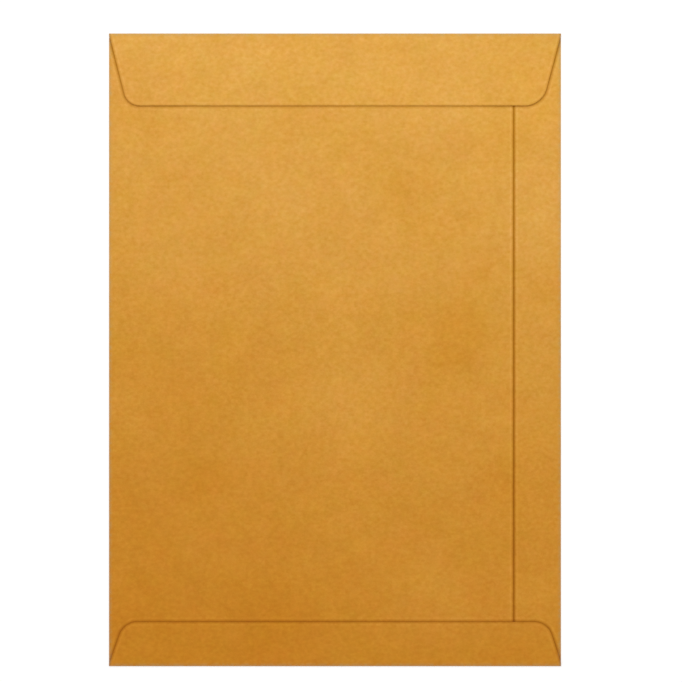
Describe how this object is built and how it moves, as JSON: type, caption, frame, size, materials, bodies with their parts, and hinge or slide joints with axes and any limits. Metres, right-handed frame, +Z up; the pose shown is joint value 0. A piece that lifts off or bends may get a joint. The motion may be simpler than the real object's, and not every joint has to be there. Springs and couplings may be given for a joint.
{
  "type": "paper envelope",
  "caption": "Flat kraft paper pocket envelope, flap side up, with a side seam, a glued bottom flap and an unsealed top flap folded down over the pocket's mouth.",
  "frame": {"origin": "centre of the face that the envelope rests on, under the middle of its outline", "axes": "+Y along the envelope towards the top flap, +Z up through the layers, +X to the right when the flap side is read with the top flap up"},
  "size_m": [0.2, 0.28, 0.0016],
  "materials": {
    "kraft_paper": "matte"
  },
  "bodies": {
    "root": {"envelope": "kraft_paper"}
  },
  "joints": []
}
